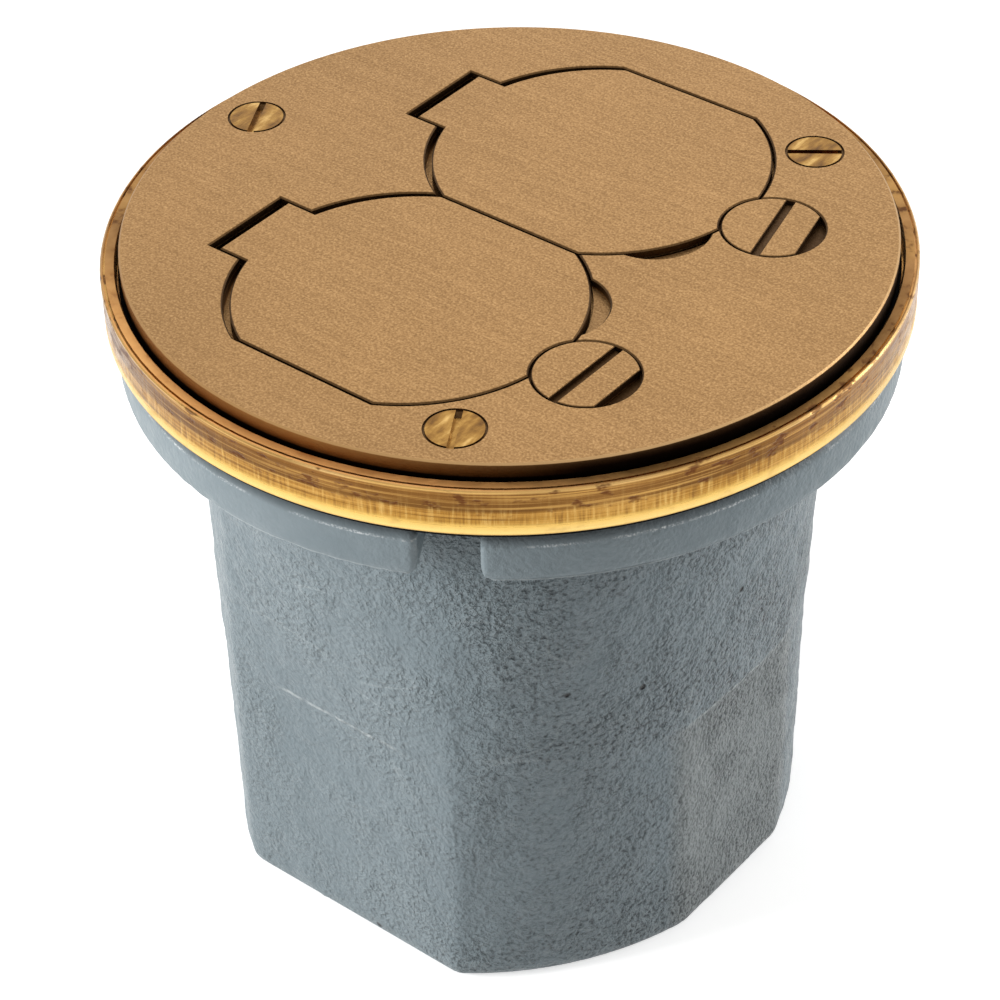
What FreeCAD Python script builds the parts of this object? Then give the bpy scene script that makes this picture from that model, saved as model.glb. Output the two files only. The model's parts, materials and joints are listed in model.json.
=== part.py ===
import FreeCAD, Part

import math
import os

# Round cast-iron floor socket box with a brass floor ring, a brass cover and two hinged lids
# that lock with slotted discs. Millimetres; +Z up; origin at the centre of the box's underside.
# X runs from the hinges to the locks, Y along the duplex outlet.

# ---- driving dimensions -------------------------------------------------------------------
# cast box
box_height = 117.15          # underside to the machined face of the flange
box_wall = 4.5
box_floor_t = 5.0
box_in_flange = 12.5         # the round wall under the flange, inside the flange's rim
box_corner_draw = 1.4        # wall between the flats, at the step, inside the wall at the top
box_base_draw = 2.6          # the same at the base
flat_depth = 5.5             # the four conduit flats, inside the wall at the top
flat_half_y_face = 25.0      # half-width of the two flats that face +Y and -Y
flat_half_x_face = 14.5      # half-width of the two flats that face +X and -X
flat_top_z = 52.0            # the step where the flats begin
flat_bulge = 0.7             # how far the wall stands proud of the flats above the step
flat_edge_step = 0.4         # corner wall below the step, inside the wall above it
box_base_round = 3.5
box_core_round = 5.0         # inside corner round the floor
base_round_steps = 5
flange_set_back = 1.6        # flange rim inside the ring's rim
flange_t = 10.4
flange_bevel_h = 3.0
flange_bevel_w = 1.6
flange_lower_break = 0.6
notch_w = 10.0               # three notches in the flange, one under each cover screw
notch_reach = 1.0            # they cut this far past the round wall
notch_round = 2.4            # the casting's lower corners beside a notch
mouth_inset = 5.5            # mouth of the box, inside the wall at the top

# floor ring and its gasket
flange_gasket_t = 1.5
ring_rim_w = 2.7             # rim beside the cover's pocket
ring_ledge_w = 13.9          # ledge that the cover sits on
ring_h = 8.1
ring_base_chamfer = 1.0
ring_land_round = 0.3
ring_line_inset = 0.9        # fine line turned in the land, just inside the rim
ring_line_w = 0.4
ring_line_depth = 0.6
gasket_set_back = 0.7        # gasket edge inside the ring's rim
gasket_bore_lap = 1.5

# cover
cover_margin = 13.9          # cover past the lids' far sides
cover_t = 4.8
cover_proud = 2.75           # how far the cover stands above the ring's land
cover_gap = 0.7              # radial gap between cover and ring
cover_gasket_t = 0.8
cover_gasket_edge = 0.3      # in from the pocket's wall and the ring's bore
edge_break = 0.3             # small chamfer on the visible brass edges
head_rim = 0.4               # straight rim of a flat screw head
cover_screw_inset = 8.7      # screw axis inside the cover's edge
cover_screw_angles = (60.0, 180.0, 300.0)

# lids
lid_pitch = 52.8             # between the centres of the two lids
lid_r = 30.0
lid_t = 3.2
lid_gap = 0.45               # running gap round a lid
lid_seat_gap = 0.05
hinge_side_gap = 1.0         # extra gap on the hinge side, where the lid's edge swings back
tab_w = 17.5
tab_end_x = -34.8
tab_root_x = -21.0           # the tab merges with the round lid before here
slot_end_x = -37.0
hinge_x = -32.0
hinge_depth = 2.6            # hinge axis below the cover's top face
knuckle_gap = 2.0            # open slot past the knuckle, towards the lid
knuckle_r = 2.2
pin_r = 1.2
pin_len = 25.0
pin_nose = 0.25
pin_fit = 0.05               # radial, lid on pin
pin_seat_fit = 0.01          # radial, pin in the cover's grooves
stake_w = 2.0                # mouth of a groove after it is staked over the pin
pad_t = 0.8
pad_margin = 2.4             # how far the pad reaches past the outlet window
pad_fit = 0.02
finger_notch_r = 10.0
finger_notch_depth = 1.6
finger_notch_x = 20.2
finger_notch_y = 14.5

# lid locks
lock_x = 36.6
lock_y = 26.3
lock_r = 8.8
lock_head_t = 1.6
lock_flat = 6.25             # centre to the flat that frees the lid
lock_slot_w = 1.6
lock_slot_depth = 1.0
lock_edge_break = 0.18
lock_gap = 0.25
lock_seat_gap = 0.1
lock_shank_r = 2.5
lock_shank_fit = 0.05
lock_shank_flat = 1.9
lock_rest_a = 14.0           # lock A stands this far off its stop; lock B is on its stop
spring_washer_r = 4.3
spring_washer_t = 0.5
spring_washer_h = 1.0
stop_washer_r = 4.2
stop_washer_t = 1.2
stop_tail_r = 6.8
stop_tail_w = 3.0
stop_tail_a = 180.0          # bearing of the tail while the lid is locked
stop_peg_r = 1.25
stop_peg_pcr = 5.8
stop_peg_h = 2.9
stop_margin = 2.0            # degrees between tail and peg at either end of the turn
lock_turn = 180.0
clip_r = 3.9
clip_t = 0.6
clip_groove_r = 1.9
clip_fit = 0.05              # play of the clip along its groove
clip_bore_fit = 0.02
clip_mouth = 3.0             # opening of the clip
shank_nose = 1.2             # shank past the clip's groove

# duplex outlet
device_screw_pitch = 83.3
outlet_pitch = 38.1
outlet_r = 17.2              # round sides of each outlet face
outlet_half = 14.3           # centre to the flat top and bottom of each face
outlet_gap = 0.45
outlet_recess = 0.4          # face below the cover's lid seat
device_w = 33.0
device_end = 0.15            # device past the outlet faces, at each end
device_base_depth = 23.0
device_head_t = 4.2
strap_len = 94.0
strap_w = 20.0
strap_t = 1.3
strap_slot_len = 6.8
blade_pitch = 12.7
hot_slot_len = 6.9
neutral_slot_len = 8.4
blade_slot_w = 2.0
ground_hole_r = 2.5
ground_offset = 11.9
contact_t = 0.8
contact_bay_w = 4.2
contact_bay_depth = 15.0
contact_bay_len = 52.0
contact_bar_lift = 2.0       # bus bar above the floor of its bay
finger_top_gap = 1.0         # spring fingers below the strap
contact_clear = 0.15
terminal_pitch = 19.0
terminal_bay_depth = 4.5
terminal_plate_w = 7.0
terminal_tab_len = 24.0
terminal_bay_edge = 3.0      # bay stops this far from the top and bottom of the device
earth_sleeve_t = 0.9
device_round = 3.0
strap_slot_edge = 1.0        # strap openings stand this far outside the slots
strap_side_fit = 0.1
face_edge_break = 0.4
base_edge_round = 1.0
earth_sleeve_depth = 11.0

# fasteners
screw_clear = 0.15           # radial, shank in a plain hole
thread_fit = 0.02            # radial, between a modelled screw and its tapped hole
head_clear = 0.45            # radial, flat head in its countersink
gasket_clear = 0.4           # radial, screw in a gasket
cover_screw_r = 2.2
cover_screw_head_r = 4.8
cover_screw_len = 12.0
cover_slot_angles = (36.0, 118.0, 300.0)
ring_screw_r = 2.5
ring_screw_seat_r = 4.35     # head; its countersink is wider by head_clear
ring_screw_inset = 5.4       # screw axis inside the pocket's wall
ring_screw_angles = (0.0, 120.0, 240.0)
ring_screw_len = 15.0
ring_slot_turn = 35.0
device_screw_r = 1.75
device_screw_head_r = 3.4
device_head_h = 2.2
device_screw_len = 16.0
tap_runout = 1.5             # a blind thread past the end of its screw
device_boss_r = 5.2
device_boss_h = 24.0
device_boss_slope = 0.55     # share of the boss's height taken by its sloped underside
boss_sink = 1.0              # how far inner bosses run into the wall and floor
wall_skin = 0.3              # they stop this far inside the outer face
terminal_screw_r = 1.5
terminal_screw_head_r = 3.1
terminal_head_h = 1.8
slot_w = 1.2
slot_depth = 1.1
screw_nose = 0.6
ground_screw_r = 2.2
ground_screw_head_r = 4.4    # across corners
ground_washer_r = 5.3
ground_boss_r = 6.5
ground_boss_h = 5.0
ground_hex_h = 3.0
ground_washer_t = 0.8
ground_screw_x = -26.0
ground_screw_y = -22.0

# conduit entries: one open on the -X flat, one plugged on the +Y flat
entry_r = 12.6
entry_z = 25.0
entry_pad_r = 18.0
entry_pad_depth = 11.0       # length of thread, from the flat inwards
plug_socket_w = 10.0
plug_socket_depth = 6.0
plug_edge_break = 0.8
plug_len = 9.0

# ---- radii and levels, worked out from the sizes above ------------------------------------
cover_r = lid_pitch + cover_margin
pocket_r = cover_r + cover_gap
ring_r = pocket_r + ring_rim_w
ring_bore_r = pocket_r - ring_ledge_w
ring_line_r = ring_r - ring_line_inset
flange_r = ring_r - flange_set_back
box_top_r = flange_r - box_in_flange
box_corner_r = box_top_r - box_corner_draw
box_base_corner_r = box_top_r - box_base_draw
flat_dist = box_top_r - flat_depth
mouth_r = box_top_r - mouth_inset
notch_floor_r = box_top_r - notch_reach
cover_screw_pcr = cover_r - cover_screw_inset
ring_screw_pcr = pocket_r - ring_screw_inset
device_len = outlet_pitch + 2 * (outlet_half + device_end)
flange_top = box_height
flange_base = flange_top - flange_t
wall_top = flange_base + boss_sink
ring_base = flange_top + flange_gasket_t
ring_land = ring_base + ring_h
cover_top = ring_land + cover_proud
cover_base = cover_top - cover_t
ring_pocket = cover_base - cover_gasket_t
lid_base = cover_top - lid_t
lid_seat = lid_base - lid_seat_gap
hinge_z = cover_top - hinge_depth
knuckle_slot_x = hinge_x + knuckle_r + knuckle_gap
lid_y = lid_pitch / 2
strap_base = flange_top
strap_top = strap_base + strap_t
face_top = lid_seat - outlet_recess
head_top = strap_top + device_head_t
boss_y = device_screw_pitch / 2
ground_seat = box_floor_t + ground_boss_h
outlet_ys = (outlet_pitch / 2, -outlet_pitch / 2)
terminal_z = strap_base - device_base_depth / 2 + 1.0
device_base = strap_base - device_base_depth
contact_bay_low = strap_base - contact_bay_depth
contact_bar_low = contact_bay_low + contact_bar_lift
sleeve_low = strap_base - earth_sleeve_depth
terminal_bay_x = device_w / 2 - terminal_bay_depth
terminal_tab_half = terminal_tab_len / 2
terminal_ys = (terminal_pitch / 2, -terminal_pitch / 2)
lock_head_base = cover_top - lock_head_t
lock_seat = lock_head_base - lock_seat_gap
spring_top = cover_base
spring_low = spring_top - spring_washer_h
stop_top = spring_low
stop_low = stop_top - stop_washer_t
groove_top = stop_low
groove_low = groove_top - clip_t - clip_fit
shank_end = groove_low - shank_nose

EPS = 0.5                    # overrun of a cutting tool past a face
NEAR = 1e-4                  # two levels this close are one


# ---- small helpers ------------------------------------------------------------------------
def V(x, y, z=0.0):
    return FreeCAD.Vector(x, y, z)


def polar(r, angle, z=0.0):
    a = math.radians(angle)
    return V(r * math.cos(a), r * math.sin(a), z)


def block(x0, x1, y0, y1, z0, z1):
    return Part.makeBox(x1 - x0, y1 - y0, z1 - z0, V(x0, y0, z0))


def rod(r, z0, z1, x=0.0, y=0.0):
    return Part.makeCylinder(r, z1 - z0, V(x, y, z0))


def tube(r_out, r_in, z0, z1, x=0.0, y=0.0):
    return rod(r_out, z0, z1, x, y).cut(rod(r_in, z0 - EPS, z1 + EPS, x, y))


def turned(profile, x=0.0, y=0.0):
    """Solid of revolution about a vertical axis from (radius, height) points."""
    points = [V(r, 0, z) for r, z in profile]
    face = Part.Face(Part.makePolygon(points + points[:1]))
    solid = face.revolve(V(0, 0), V(0, 0, 1), 360)
    solid.translate(V(x, y))
    return solid


def fused(shapes):
    body, *rest = shapes
    for shape in rest:
        body = body.fuse(shape)
    return body.removeSplitter()


def cut_all(body, tools):
    for tool in tools:
        body = body.cut(tool)
    return body


def turned_about_z(shape, angle, x=0.0, y=0.0):
    copy = shape.copy()
    copy.rotate(V(x, y), V(0, 0, 1), angle)
    return copy


def upright_edges(solid, height):
    """Vertical edges at least this high."""
    return [edge for edge in solid.Edges if edge.BoundBox.ZLength > height - NEAR]


def break_edges(solid, level, size):
    """Chamfer the edges that lie wholly at one level."""
    edges = [edge for edge in solid.Edges
             if abs(edge.BoundBox.ZMin - level) < NEAR and abs(edge.BoundBox.ZMax - level) < NEAR]
    return solid.makeChamfer(size, edges)


def spots(pitch_r, angles):
    """Points on a circle about the box's axis."""
    return [polar(pitch_r, angle) for angle in angles]


def save(node, shape):
    shape.exportStep("parts/%s.step" % node)
    print("%-24s solids %2d  volume %10.1f  valid %s"
          % (node, len(shape.Solids), shape.Volume, shape.isValid()))


# ---- fasteners ----------------------------------------------------------------------------
def flat_head(spot, top, head_r, shank_r, length, slot_angle):
    """Countersunk screw with a straight slot, standing head up with its face at top."""
    cone_top = top - head_rim
    tip = top - length
    screw = turned([(0, top), (head_r, top), (head_r, cone_top), (shank_r, cone_top - head_r + shank_r),
                    (shank_r, tip + screw_nose), (shank_r - screw_nose, tip), (0, tip)])
    slot = block(-head_r - EPS, head_r + EPS, -slot_w / 2, slot_w / 2, top - slot_depth, top + EPS)
    screw = screw.cut(turned_about_z(slot, slot_angle))
    screw.translate(spot)
    return screw


def countersink(spot, top, head_r, shank_r, bottom):
    """Tool that seats a flat head: a rim, a cone, then a clear hole down to bottom."""
    wide = head_r + head_clear
    cone_top = top - head_rim
    cone_foot = cone_top - head_r + shank_r
    hole_r = shank_r + screw_clear
    return turned([(0, top + EPS), (wide, top + EPS), (wide, cone_top), (head_r, cone_top),
                   (hole_r, cone_foot + screw_clear), (hole_r, bottom), (0, bottom)], spot.x, spot.y)


def round_head(seat, head_r, shank_r, length, head_h):
    """Binding-head screw on the Z axis with a straight slot; the head rests on seat."""
    crown = seat + head_h
    screw = turned([(0, crown), (head_r * 0.75, crown), (head_r, crown - head_h / 2),
                    (head_r, seat), (shank_r, seat), (shank_r, seat - length), (0, seat - length)])
    slot = block(-head_r - EPS, head_r + EPS, -slot_w / 2, slot_w / 2, crown - slot_depth, crown + EPS)
    return screw.cut(slot)


# ---- cast box -----------------------------------------------------------------------------
def box_section(z, corner_r, flat, bulge, shrink=0.0):
    """Closed outline of the wall at one height: four conduit flats joined by wide round corners.

    bulge lifts the middle of each flat outwards; shrink moves the whole outline inwards.
    """
    hx = flat_half_x_face - shrink * 0.3
    hy = flat_half_y_face - shrink * 0.5
    d = flat - shrink
    corner = corner_r - shrink
    turns = [((d, -hx), (d, hx), d + bulge, 0), ((hy, d), (-hy, d), d + bulge, 90),
             ((-d, hx), (-d, -hx), d + bulge, 180), ((-hy, -d), (hy, -d), d + bulge, 270)]
    edges = []
    for index, (start, end, middle_r, angle) in enumerate(turns):
        a, b = V(*start, z), V(*end, z)
        if bulge > 0:
            edges.append(Part.Arc(a, polar(middle_r, angle, z), b).toShape())
        else:
            edges.append(Part.makeLine(a, b))
        nxt = turns[(index + 1) % 4][0]
        c = V(*nxt, z)
        halfway = b / b.Length + c / c.Length
        middle_angle = math.degrees(math.atan2(halfway.y, halfway.x))
        edges.append(Part.Arc(b, polar(corner, middle_angle, z), c).toShape())
    return Part.Wire(edges)


def round_section(z, r):
    """Circle divided at the same bearings as the flats, so that it lofts cleanly into them."""
    bx = math.degrees(math.atan2(flat_half_x_face, flat_dist))
    by = math.degrees(math.atan2(flat_half_y_face, flat_dist))
    bearings = [-bx, bx, 90 - by, 90 + by, 180 - bx, 180 + bx, 270 - by, 270 + by, 360 - bx]
    edges = []
    for a, b in zip(bearings, bearings[1:]):
        edges.append(Part.Arc(polar(r, a, z), polar(r, (a + b) / 2, z), polar(r, b, z)).toShape())
    return Part.Wire(edges)


def wall_solid(shrink, top, bottom, round_r):
    """Round under the flange, growing into flats at the step, then down to a rounded base."""
    upper = Part.makeLoft([box_section(flat_top_z, box_corner_r, flat_dist, flat_bulge, shrink),
                           round_section(top, box_top_r - shrink)], True, True)
    sections = []
    for step in range(base_round_steps + 1):
        a = math.radians(90.0 * step / base_round_steps)
        inset = shrink + round_r * (1 - math.sin(a))
        level = bottom + round_r * (1 - math.cos(a))
        sections.append(box_section(level, box_base_corner_r, flat_dist, 0, inset))
    sections.append(box_section(flat_top_z, box_corner_r - flat_edge_step, flat_dist, 0, shrink))
    lower = Part.makeLoft(sections, True, True)
    return upper, lower


def make_box_body():
    upper, lower = wall_solid(0.0, wall_top, 0.0, box_base_round)
    low_break = flange_lower_break
    flange = turned([(0, flange_base), (flange_r - low_break, flange_base),
                     (flange_r, flange_base + low_break), (flange_r, flange_top - flange_bevel_h),
                     (flange_r - flange_bevel_w, flange_top), (0, flange_top)])
    body = fused([lower, upper, flange])

    cavity = wall_solid(box_wall, wall_top, box_floor_t, box_core_round)
    mouth = rod(mouth_r, wall_top - EPS, flange_top + EPS)
    body = cut_all(body, [*cavity, mouth])

    envelope_parts = wall_solid(wall_skin, wall_top, wall_skin, box_base_round)
    envelope = fused([*envelope_parts, rod(box_top_r - wall_skin, flange_base, flange_top)])
    inside = [device_boss(1), device_boss(-1), entry_pad(V(-1, 0)), entry_pad(V(0, 1)),
              rod(ground_boss_r, box_floor_t - boss_sink, ground_seat, ground_screw_x, ground_screw_y)]
    body = fused([body] + [piece.common(envelope) for piece in inside])
    return cut_all(body, box_holes())


def device_boss(sign):
    """Post for an outlet screw, hung from the rim and joined to the wall by a web, sloped underneath."""
    y = sign * boss_y
    low = flange_top - device_boss_h
    wall = sign * (box_top_r - box_wall / 3)
    r = device_boss_r
    post = rod(r, low, flange_top, 0, y)
    web = block(-r, r, min(y, wall), max(y, wall), low, flange_top)
    front = y - sign * (r + EPS)
    foot = low - EPS
    slope = Part.Face(Part.makePolygon([
        V(-r - EPS, front, foot), V(-r - EPS, front, low + device_boss_h * device_boss_slope),
        V(-r - EPS, sign * flat_dist, foot), V(-r - EPS, front, foot)]))
    return post.fuse(web).cut(slope.extrude(V(2 * (r + EPS), 0, 0)))


def entry_pad(outward):
    """Thickening behind a flat, which gives the pipe thread its length."""
    start = outward * (flat_dist - entry_pad_depth) + V(0, 0, entry_z)
    return Part.makeCylinder(entry_pad_r, entry_pad_depth - wall_skin, start, outward)


def entry_bore(outward):
    start = outward * (flat_dist - entry_pad_depth - EPS) + V(0, 0, entry_z)
    return Part.makeCylinder(entry_r, entry_pad_depth + 2 * EPS, start, outward)


def box_holes():
    """Every tapped hole, both conduit entries, and the flange's notches."""
    holes = [entry_bore(V(-1, 0)), entry_bore(V(0, 1))]
    for y in (boss_y, -boss_y):
        holes.append(rod(device_screw_r + thread_fit, flange_top - device_screw_len - tap_runout,
                         flange_top + EPS, 0, y))
    holes.append(rod(ground_screw_r + thread_fit, box_floor_t + EPS, ground_seat + EPS,
                     ground_screw_x, ground_screw_y))
    for spot in spots(ring_screw_pcr, ring_screw_angles):
        holes.append(rod(ring_screw_r + thread_fit, flange_base - EPS, flange_top + EPS, spot.x, spot.y))
    for angle in cover_screw_angles:
        holes.append(turned_about_z(notch_tool(), angle))
    return holes


def notch_tool():
    """Slot through the flange's rim; it flares downwards, which leaves round corners beside it."""
    r, half, foot = notch_round, notch_w / 2, flange_base - EPS
    spring = flange_base + r
    mid = r * (1 - math.sqrt(0.5))
    left = Part.Arc(V(0, -half, spring), V(0, -half - mid, flange_base + mid),
                    V(0, -half - r, flange_base)).toShape()
    right = Part.Arc(V(0, half + r, flange_base), V(0, half + mid, flange_base + mid),
                     V(0, half, spring)).toShape()
    top = flange_top + EPS
    foot_line = Part.makePolygon([V(0, -half - r, flange_base), V(0, -half - r, foot),
                                  V(0, half + r, foot), V(0, half + r, flange_base)])
    head_line = Part.makePolygon([V(0, half, spring), V(0, half, top), V(0, -half, top), V(0, -half, spring)])
    outline = Part.Wire([left, *foot_line.Edges, right, *head_line.Edges])
    tool = Part.Face(outline).extrude(V(flange_r + EPS - notch_floor_r, 0))
    tool.translate(V(notch_floor_r, 0))
    return tool


def gasket_holes(z0, z1, *patterns):
    """Clearance holes through a gasket, one pattern of (pitch radius, bearings, radius) at a time."""
    return [rod(r, z0 - EPS, z1 + EPS, spot.x, spot.y)
            for pitch_r, angles, r in patterns for spot in spots(pitch_r, angles)]


def make_flange_gasket():
    gasket = tube(ring_r - gasket_set_back, ring_bore_r - gasket_bore_lap, flange_top, ring_base)
    return cut_all(gasket, gasket_holes(flange_top, ring_base,
                                        (ring_screw_pcr, ring_screw_angles, ring_screw_r + gasket_clear),
                                        (cover_screw_pcr, cover_screw_angles, cover_screw_r + gasket_clear)))


# ---- floor ring ---------------------------------------------------------------------------
def make_floor_ring():
    c, land = ring_base_chamfer, ring_land_round
    line_low = ring_land - ring_line_depth
    ring = turned([(ring_bore_r, ring_base), (ring_r - c, ring_base), (ring_r, ring_base + c),
                   (ring_r, ring_land - land), (ring_r - land, ring_land),
                   (ring_line_r + ring_line_w, ring_land), (ring_line_r + ring_line_w, line_low),
                   (ring_line_r, line_low), (ring_line_r, ring_land), (pocket_r + edge_break, ring_land),
                   (pocket_r, ring_land - edge_break), (pocket_r, ring_pocket), (ring_bore_r, ring_pocket)])
    holes = []
    for spot in spots(ring_screw_pcr, ring_screw_angles):
        holes.append(countersink(spot, ring_pocket, ring_screw_seat_r, ring_screw_r, ring_base - EPS))
    for spot in spots(cover_screw_pcr, cover_screw_angles):
        holes.append(rod(cover_screw_r + thread_fit, ring_base - EPS, ring_pocket + EPS, spot.x, spot.y))
    return cut_all(ring, holes)


def make_ring_screws():
    return Part.makeCompound([
        flat_head(spot, ring_pocket, ring_screw_seat_r, ring_screw_r, ring_screw_len, angle + ring_slot_turn)
        for spot, angle in zip(spots(ring_screw_pcr, ring_screw_angles), ring_screw_angles)])


# ---- lids ---------------------------------------------------------------------------------
def lid_disc(sign, z0, z1):
    """Round lid blank cut off straight along the centre line and along its far side."""
    near, far = sorted((sign * lid_gap / 2, sign * lid_pitch))
    return rod(lid_r, z0, z1, 0, sign * lid_y).common(block(-lid_r, lid_r, near, far, z0, z1))


def lid_recess(sign, shift):
    """Tool for a lid's seat in the cover; the two recesses meet along the centre line."""
    r = lid_r + lid_gap
    near, far = sorted((-sign * lid_gap, sign * (lid_pitch + lid_gap)))
    blank = rod(r, lid_seat, cover_top + EPS, shift, sign * lid_y)
    return blank.common(block(shift - r, shift + r, near, far, lid_seat, cover_top + EPS))


def outlet_window(sign, z0, z1, grow):
    """Duplex outlet outline: a circle with a flat top and bottom."""
    y = sign * outlet_pitch / 2
    half = outlet_half + grow
    r = outlet_r + grow
    return rod(r, z0, z1, 0, y).common(block(-r, r, y - half, y + half, z0, z1))


def along_hinge(r, sign, length):
    """Cylinder on a lid's hinge axis."""
    return Part.makeCylinder(r, length, V(hinge_x, sign * lock_y - length / 2, hinge_z), V(0, 1, 0))


def make_lid(sign):
    y = sign * lock_y
    tab = block(tab_end_x, tab_root_x, y - tab_w / 2, y + tab_w / 2, lid_base, cover_top)
    lid = fused([lid_disc(sign, lid_base, cover_top), tab])
    lid = lid.cut(rod(lock_r + 2 * lock_gap, lock_seat, cover_top + EPS, lock_x, y))
    lid = break_edges(lid, cover_top, edge_break)
    lid = fused([lid, along_hinge(knuckle_r, sign, tab_w)])
    return cut_all(lid, [along_hinge(pin_r + pin_fit, sign, tab_w + 2 * EPS),
                         outlet_window(sign, lid_base - EPS, lid_base + pad_t, pad_margin)])


def make_lid_pad(sign):
    return outlet_window(sign, lid_base, lid_base + pad_t, pad_margin - pad_fit)


def make_hinge_pin(sign):
    pin = along_hinge(pin_r, sign, pin_len)
    return pin.makeChamfer(pin_nose, [edge for edge in pin.Edges if edge.BoundBox.YLength < NEAR])


# ---- cover --------------------------------------------------------------------------------
def cover_recesses(sign):
    """Everything sunk in the cover's top face for one lid and its lock."""
    y = sign * lock_y
    half = tab_w / 2 + lid_gap
    return [lid_recess(sign, 0.0), lid_recess(sign, -hinge_side_gap),
            block(slot_end_x, tab_root_x, y - half, y + half, lid_seat, cover_top + EPS),
            rod(finger_notch_r, cover_top - finger_notch_depth, cover_top + EPS,
                finger_notch_x, sign * finger_notch_y),
            rod(lock_r + lock_gap, lock_seat, cover_top + EPS, lock_x, y)]


def cover_openings(sign):
    """Everything cut through the cover for one lid: knuckle slot, outlet, pin groove, lock bearing."""
    y = sign * lock_y
    half = tab_w / 2 + lid_gap
    groove_len = pin_len + 2 * EPS
    return [block(slot_end_x, knuckle_slot_x, y - half, y + half, cover_base - EPS, cover_top + EPS),
            outlet_window(sign, cover_base - EPS, cover_top + EPS, outlet_gap),
            along_hinge(pin_r + pin_seat_fit, sign, groove_len),
            block(hinge_x - stake_w / 2, hinge_x + stake_w / 2, y - groove_len / 2, y + groove_len / 2,
                  cover_base - EPS, hinge_z),
            rod(lock_shank_r + lock_shank_fit, cover_base - EPS, cover_top, lock_x, y)]


def stop_pegs(sign):
    pegs = []
    for spot in spots(stop_peg_pcr, stop_peg_angles()):
        pegs.append(rod(stop_peg_r, cover_base - stop_peg_h, cover_base + EPS,
                        lock_x + spot.x, sign * lock_y + spot.y))
    return pegs


def make_cover_plate():
    plate = rod(cover_r, cover_base, cover_top)
    plate = cut_all(plate, cover_recesses(1) + cover_recesses(-1))
    plate = break_edges(plate, cover_top, edge_break)
    plate = break_edges(plate, cover_base, edge_break)
    screw_seats = [countersink(spot, cover_top, cover_screw_head_r, cover_screw_r, cover_base - EPS)
                   for spot in spots(cover_screw_pcr, cover_screw_angles)]
    plate = cut_all(plate, cover_openings(1) + cover_openings(-1) + screw_seats)
    return fused([plate] + stop_pegs(1) + stop_pegs(-1))


def make_cover_gasket():
    gasket = tube(pocket_r - cover_gasket_edge, ring_bore_r + cover_gasket_edge, ring_pocket, cover_base)
    return cut_all(gasket, gasket_holes(ring_pocket, cover_base,
                                        (cover_screw_pcr, cover_screw_angles, cover_screw_r + gasket_clear)))


def make_cover_screws():
    return Part.makeCompound([
        flat_head(spot, cover_top, cover_screw_head_r, cover_screw_r, cover_screw_len, slot_angle)
        for spot, slot_angle in zip(spots(cover_screw_pcr, cover_screw_angles), cover_slot_angles)])


# ---- lid locks ----------------------------------------------------------------------------
def stop_peg_angles():
    """Bearings of the two pegs, seen from the lock's axis, that end its half turn."""
    reach = math.degrees(math.asin((stop_tail_w / 2 + stop_peg_r) / stop_peg_pcr)) + stop_margin
    return (stop_tail_a - reach, stop_tail_a + lock_turn + reach)


def double_d(r, flat, z0, z1, x, y):
    """Round bar with two flats."""
    return rod(r, z0, z1, x, y).common(block(x - flat, x + flat, y - r, y + r, z0, z1))


def make_lock_disc(sign, rest):
    x, y = lock_x, sign * lock_y
    over = lock_r + EPS
    head = rod(lock_r, lock_head_base, cover_top, x, y)
    head = head.cut(block(x + lock_flat, x + over, y - over, y + over, lock_head_base - EPS, cover_top + EPS))
    head = head.cut(block(x - lock_slot_w / 2, x + lock_slot_w / 2, y - over, y + over,
                          cover_top - lock_slot_depth, cover_top + EPS))
    head = break_edges(head, cover_top, lock_edge_break)
    journal = rod(lock_shank_r, cover_base, lock_head_base, x, y)
    keyed = double_d(lock_shank_r, lock_shank_flat, shank_end, cover_base, x, y)
    groove = tube(lock_shank_r + EPS, clip_groove_r, groove_low, groove_top, x, y)
    return turned_about_z(fused([head, journal, keyed]).cut(groove), rest, x, y)


def make_spring_washer(sign):
    """Conical washer that keeps the disc pulled down on the lid's lip."""
    r_in = lock_shank_r + screw_clear
    return turned([(r_in, spring_low), (r_in, spring_low + spring_washer_t), (spring_washer_r, spring_top),
                   (spring_washer_r, spring_top - spring_washer_t)], lock_x, sign * lock_y)


def make_stop_washer(sign, rest):
    """Washer keyed on the shank, with a tail that meets a peg at each end of the turn."""
    x, y = lock_x, sign * lock_y
    tail = block(0, stop_tail_r, -stop_tail_w / 2, stop_tail_w / 2, stop_low, stop_top)
    tail = tail.common(rod(stop_tail_r, stop_low, stop_top))
    tail.translate(V(x, y))
    tail = turned_about_z(tail, stop_tail_a, x, y)
    fit = lock_shank_fit
    hole = double_d(lock_shank_r + fit, lock_shank_flat + fit, stop_low - EPS, stop_top + EPS, x, y)
    washer = fused([rod(stop_washer_r, stop_low, stop_top, x, y), tail]).cut(hole)
    return turned_about_z(washer, rest, x, y)


def make_lock_clip(sign, rest):
    """E-clip in the shank's groove."""
    x, y = lock_x, sign * lock_y
    low = groove_low + clip_fit
    clip = tube(clip_r, clip_groove_r + clip_bore_fit, low, groove_top, x, y)
    mouth = block(x, x + clip_r + EPS, y - clip_mouth / 2, y + clip_mouth / 2, low - EPS, groove_top + EPS)
    return turned_about_z(clip.cut(mouth), rest + 90, x, y)


# ---- duplex outlet ------------------------------------------------------------------------
def blade_slots(y, z0, z1, grow=0.0):
    """Tools for one outlet's two blade slots and its earth hole."""
    half_w = blade_slot_w / 2 + grow
    slots = [rod(ground_hole_r + grow, z0, z1, 0, y - ground_offset)]
    for x, length in ((blade_pitch / 2, hot_slot_len), (-blade_pitch / 2, neutral_slot_len)):
        half = length / 2 + grow
        slots.append(block(x - half_w, x + half_w, y - half, y + half, z0, z1))
    return slots


def device_block(z0, z1):
    slab = block(-device_w / 2, device_w / 2, -device_len / 2, device_len / 2, z0, z1)
    return slab.makeFillet(device_round, upright_edges(slab, z1 - z0))


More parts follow.
